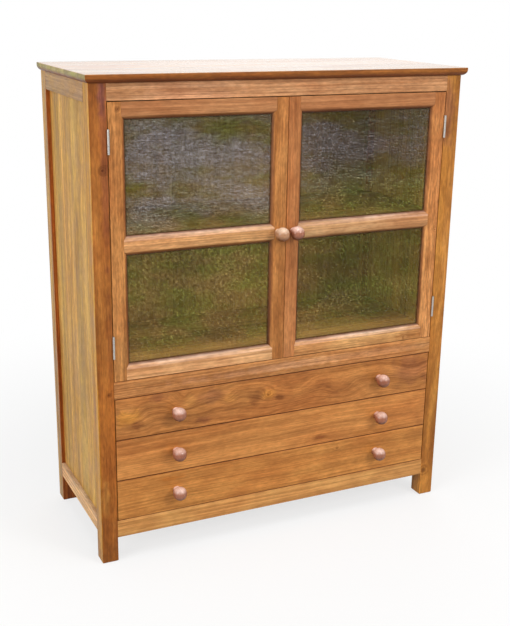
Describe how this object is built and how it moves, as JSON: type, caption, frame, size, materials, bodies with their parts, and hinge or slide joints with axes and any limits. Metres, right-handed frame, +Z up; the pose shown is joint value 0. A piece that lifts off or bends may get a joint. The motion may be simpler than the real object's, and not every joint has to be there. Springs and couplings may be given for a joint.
{
  "type": "glazed kitchen cabinet",
  "caption": "Wooden kitchen cabinet on posts with framed glass doors over full-width drawers, ball knobs and an overhanging top board.",
  "frame": {"origin": "middle of the base of the whole cabinet on the floor, knobs and top board included", "axes": "+X to the right across the front, +Y from the front to the back, +Z up"},
  "size_m": [1.02, 0.461, 1.22],
  "materials": {
    "top_wood": "pale honey solid board, satin varnish",
    "carcase_wood": "orange-brown solid softwood, satin varnish, even grain with a few knots",
    "panel_wood": "yellow-tan boards glued edge to edge, satin varnish",
    "inner_wood": "planed softwood, thinly varnished",
    "door_wood": "orange-brown solid wood, satin varnish",
    "drawer_wood": "orange-brown solid wood with flowing grain, satin varnish",
    "drawer_lining": "bare planed softwood",
    "knob_wood": "turned pale wood, satin varnish",
    "pane_glass": "clear float glass",
    "hinge_nickel": "bright nickel plate",
    "catch_steel": "zinc-plated steel",
    "catch_plastic": "brown moulded plastic"
  },
  "bodies": {
    "carcase": {"top_board": "top_wood", "front_left_post": "carcase_wood", "front_right_post": "carcase_wood", "back_left_post": "carcase_wood", "back_right_post": "carcase_wood", "front_top_rail": "carcase_wood", "front_middle_rail": "carcase_wood", "front_bottom_rail": "carcase_wood", "back_top_rail": "carcase_wood", "back_bottom_rail": "carcase_wood", "left_top_rail": "carcase_wood", "left_bottom_rail": "carcase_wood", "right_top_rail": "carcase_wood", "right_bottom_rail": "carcase_wood", "left_side_panel": "panel_wood", "right_side_panel": "panel_wood", "back_panel": "panel_wood", "cupboard_floor": "inner_wood", "shelf": "inner_wood", "board_bearers": "inner_wood", "drawer_runners": "inner_wood", "top_buttons": "inner_wood", "magnetic_catches": "catch_plastic", "hinge_pins": "hinge_nickel", "frame_hinge_leaves": "hinge_nickel"},
    "left_door": {"left_door_hinge_stile": "door_wood", "left_door_meeting_stile": "door_wood", "left_door_top_rail": "door_wood", "left_door_bottom_rail": "door_wood", "left_door_glazing_bar": "door_wood", "left_door_panes": "pane_glass", "left_door_beads": "door_wood", "left_door_knob": "knob_wood", "left_door_hinge_leaves": "hinge_nickel", "left_door_catch_plate": "catch_steel"},
    "right_door": {"right_door_hinge_stile": "door_wood", "right_door_meeting_stile": "door_wood", "right_door_top_rail": "door_wood", "right_door_bottom_rail": "door_wood", "right_door_glazing_bar": "door_wood", "right_door_panes": "pane_glass", "right_door_beads": "door_wood", "right_door_knob": "knob_wood", "right_door_hinge_leaves": "hinge_nickel", "right_door_catch_plate": "catch_steel"},
    "top_drawer": {"top_drawer_front": "drawer_wood", "top_drawer_sides": "drawer_lining", "top_drawer_back": "drawer_lining", "top_drawer_bottom": "drawer_lining", "top_drawer_knobs": "knob_wood"},
    "middle_drawer": {"middle_drawer_front": "drawer_wood", "middle_drawer_sides": "drawer_lining", "middle_drawer_back": "drawer_lining", "middle_drawer_bottom": "drawer_lining", "middle_drawer_knobs": "knob_wood"},
    "bottom_drawer": {"bottom_drawer_front": "drawer_wood", "bottom_drawer_sides": "drawer_lining", "bottom_drawer_back": "drawer_lining", "bottom_drawer_bottom": "drawer_lining", "bottom_drawer_knobs": "knob_wood"}
  },
  "joints": [
    {"name": "left_door_hinge", "type": "hinge", "parent": "carcase", "child": "left_door", "pos_m": [-0.457, -0.1927, 0.8], "axis": [0, 0, -1], "range_deg": [0, 175]},
    {"name": "right_door_hinge", "type": "hinge", "parent": "carcase", "child": "right_door", "pos_m": [0.457, -0.1927, 0.8], "axis": [0, 0, 1], "range_deg": [0, 175]},
    {"name": "top_drawer_slide", "type": "slide", "parent": "carcase", "child": "top_drawer", "axis": [0, -1, 0], "range_m": [0, 0.3]},
    {"name": "middle_drawer_slide", "type": "slide", "parent": "carcase", "child": "middle_drawer", "axis": [0, -1, 0], "range_m": [0, 0.3]},
    {"name": "bottom_drawer_slide", "type": "slide", "parent": "carcase", "child": "bottom_drawer", "axis": [0, -1, 0], "range_m": [0, 0.3]}
  ]
}
